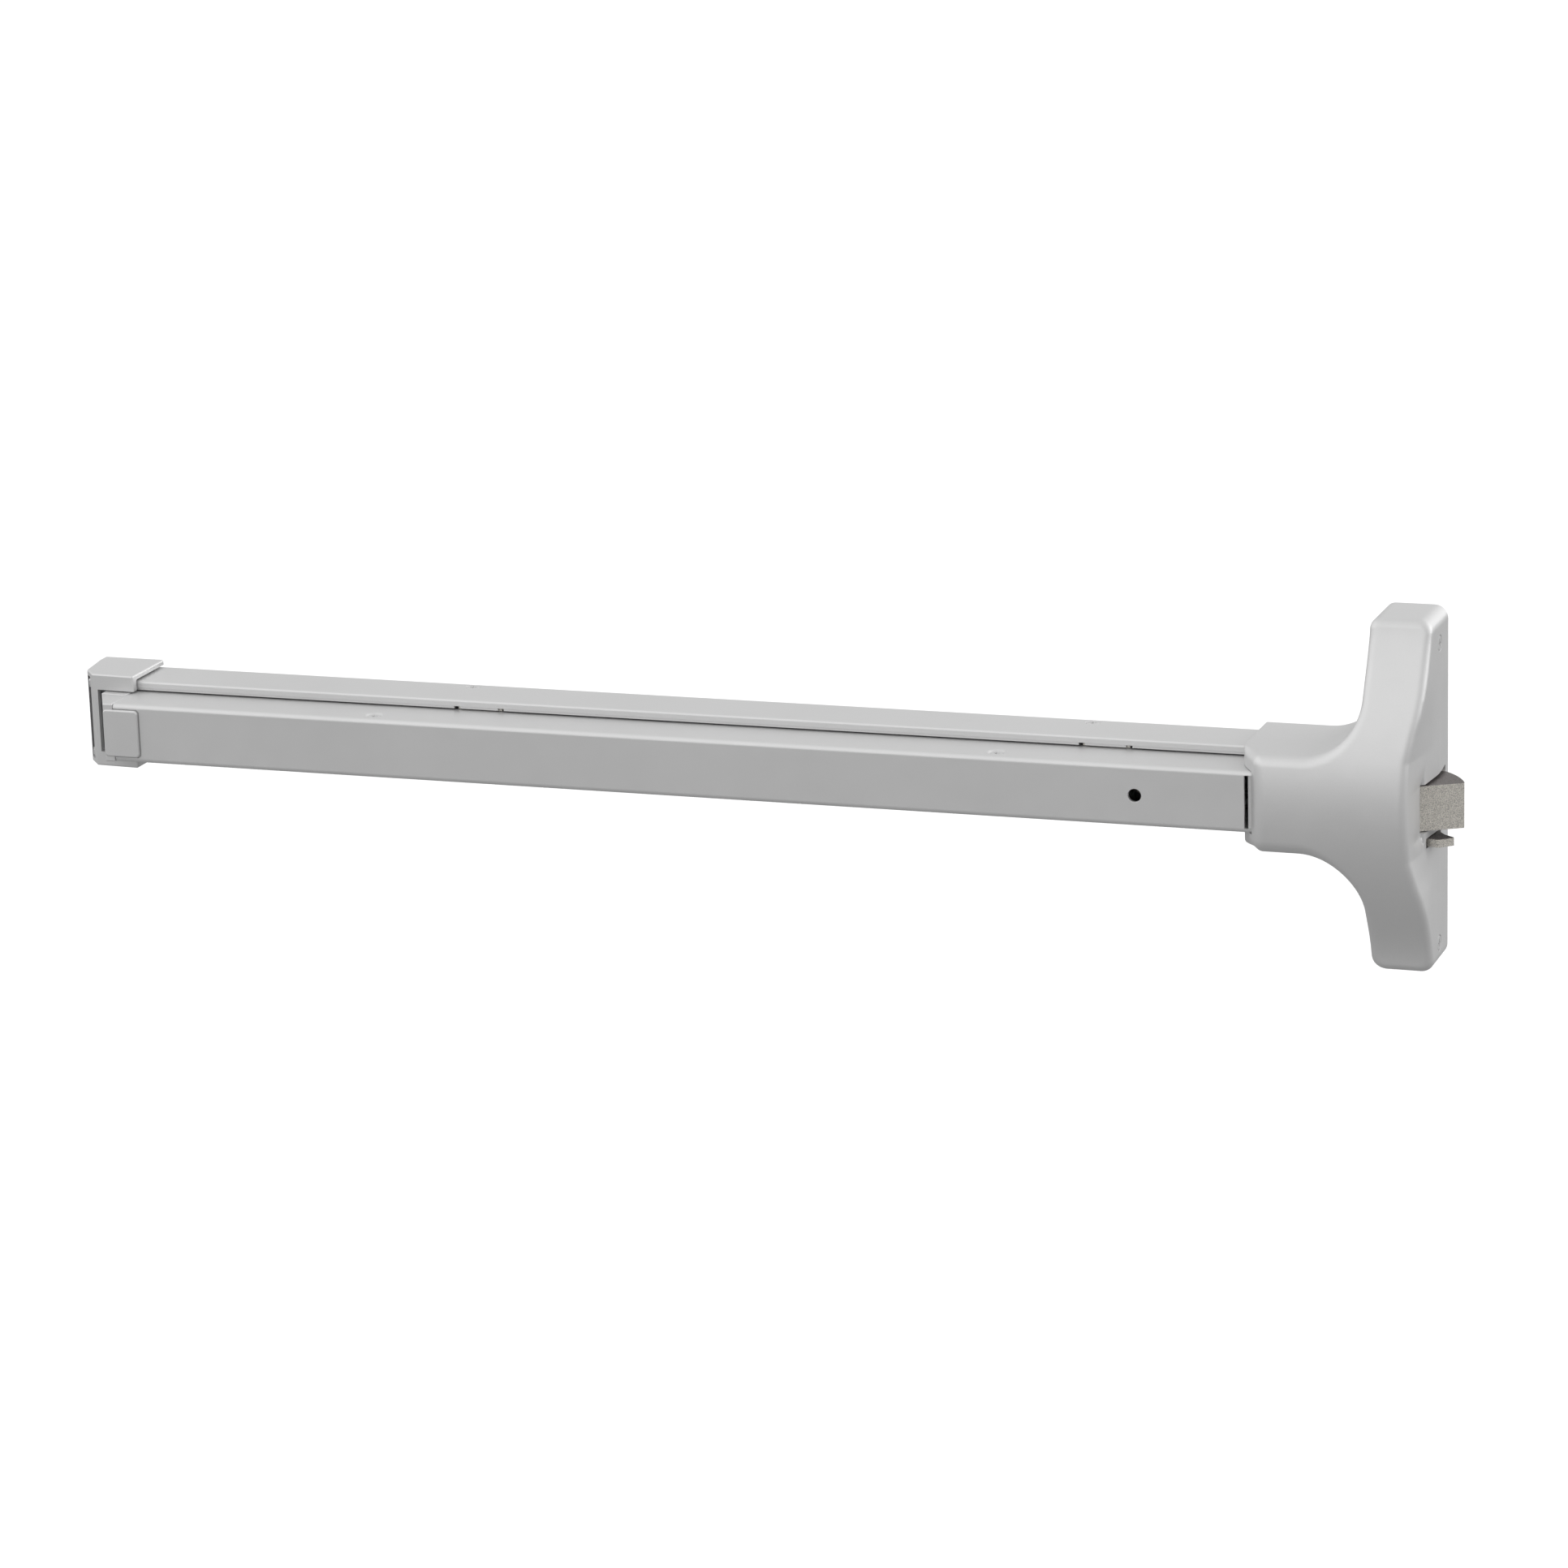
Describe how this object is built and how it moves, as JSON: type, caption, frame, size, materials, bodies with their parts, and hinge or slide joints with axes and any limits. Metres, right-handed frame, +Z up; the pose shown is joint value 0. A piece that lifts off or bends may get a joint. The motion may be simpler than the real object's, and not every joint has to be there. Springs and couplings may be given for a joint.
{
  "type": "panic exit bar",
  "caption": "Touch-bar exit device: pressing the bar towards the door pulls a rod through bell cranks and swings a rim latch into the lock head.",
  "frame": {"origin": "on the back face of the lock head's plate, which lies on the door, on the bar's centre line and in the middle of the head", "axes": "+X along the bar towards the lock edge of the door, +Y into the door, +Z up"},
  "size_m": [0.8994, 0.082, 0.216],
  "materials": {
    "painted_aluminium": "satin silver-grey paint over an extrusion",
    "painted_casting": "satin silver-grey paint over a casting",
    "painted_screw": "satin silver-grey paint",
    "cast_steel": "bare sintered steel, fine grain",
    "zinc_plate": "bright zinc plate",
    "spring_steel": "drawn spring wire",
    "nylon": "natural nylon",
    "rubber": "matt black rubber"
  },
  "bodies": {
    "frame": {"rail_channel": "painted_aluminium", "end_cap": "painted_casting", "end_cap_bracket": "zinc_plate", "end_cap_screw_upper": "zinc_plate", "end_cap_screw_lower": "zinc_plate", "head_chassis": "zinc_plate", "head_cover": "painted_casting", "cover_screw_right_upper": "painted_screw", "cover_screw_right_lower": "painted_screw", "cover_screw_left_upper": "painted_screw", "cover_screw_left_lower": "painted_screw", "splice_screw_upper": "zinc_plate", "splice_screw_lower": "zinc_plate", "latch_bracket_upper": "zinc_plate", "latch_bracket_lower": "zinc_plate", "latch_pivot_pin": "zinc_plate", "latch_spacer": "zinc_plate", "latch_spring": "spring_steel", "deadlatch_spring": "spring_steel", "crank_bracket_left": "zinc_plate", "crank_pivot_pin_left": "zinc_plate", "crank_spring_left": "spring_steel", "travel_bumper_left": "rubber", "rail_screw_upper_left": "painted_screw", "rail_screw_lower_left": "painted_screw", "glide_upper_left": "nylon", "glide_lower_left": "nylon", "crank_bracket_right": "zinc_plate", "crank_pivot_pin_right": "zinc_plate", "crank_spring_right": "spring_steel", "travel_bumper_right": "rubber", "rail_screw_upper_right": "painted_screw", "rail_screw_lower_right": "painted_screw", "glide_upper_right": "nylon", "glide_lower_right": "nylon", "dogging_housing": "zinc_plate"},
    "push_bar": {"push_bar": "painted_aluminium", "push_bar_end_pad": "painted_casting", "dogging_catch": "zinc_plate", "bar_carrier_left": "zinc_plate", "bar_screw_upper_left": "painted_screw", "bar_screw_lower_left": "painted_screw", "bar_carrier_right": "zinc_plate", "bar_screw_upper_right": "painted_screw", "bar_screw_lower_right": "painted_screw"},
    "crank_left": {"crank_left": "zinc_plate", "crank_bar_pin_left": "zinc_plate", "crank_rod_pin_left": "zinc_plate"},
    "crank_right": {"crank_right": "zinc_plate", "crank_bar_pin_right": "zinc_plate", "crank_rod_pin_right": "zinc_plate"},
    "pull_rod": {"actuator_rod": "zinc_plate", "retractor": "zinc_plate", "rod_link": "zinc_plate", "link_screw_rod": "zinc_plate", "link_screw_retractor": "zinc_plate"},
    "latch": {"latch_bolt": "cast_steel", "latch_link_pin": "zinc_plate"},
    "deadlatch": {"deadlatch": "cast_steel"},
    "dogging_cam": {"dogging_cam": "cast_steel"}
  },
  "joints": [
    {"name": "push_bar_press", "type": "slide", "parent": "frame", "child": "push_bar", "axis": [0, 1, 0], "range_m": [0, 0.015], "stiffness_N_per_m": 1500, "springref_m": -0.012},
    {"name": "crank_left_turn", "type": "hinge", "parent": "frame", "child": "crank_left", "pos_m": [-0.6177, -0.02, 0], "axis": [0, 0, 1], "range_deg": [-29, 0]},
    {"name": "crank_right_turn", "type": "hinge", "parent": "frame", "child": "crank_right", "pos_m": [-0.2119, -0.02, 0], "axis": [0, 0, 1], "range_deg": [-29, 0]},
    {"name": "rod_pull", "type": "slide", "parent": "frame", "child": "pull_rod", "axis": [-1, 0, 0], "range_m": [0, 0.0121]},
    {"name": "latch_retract", "type": "hinge", "parent": "frame", "child": "latch", "pos_m": [0.004, -0.046, 0], "axis": [0, 0, 1], "range_deg": [0, 43.6]},
    {"name": "deadlatch_retract", "type": "hinge", "parent": "frame", "child": "deadlatch", "pos_m": [0.004, -0.046, -0.026], "axis": [0, 0, 1], "range_deg": [0, 42], "stiffness_Nm_per_rad": 0.08, "springref_deg": -22.92},
    {"name": "dogging_turn", "type": "hinge", "parent": "frame", "child": "dogging_cam", "pos_m": [-0.1531, -0.03, 0], "axis": [0, 1, 0], "range_deg": [0, 90]}
  ],
  "couplings": [
    {"joint": "crank_left_turn", "follows": "push_bar_press", "rad_per_m": -33.691},
    {"joint": "crank_right_turn", "follows": "push_bar_press", "rad_per_m": -33.691},
    {"joint": "rod_pull", "follows": "push_bar_press", "ratio": 0.8},
    {"joint": "latch_retract", "follows": "push_bar_press", "rad_per_m": 50.615}
  ]
}
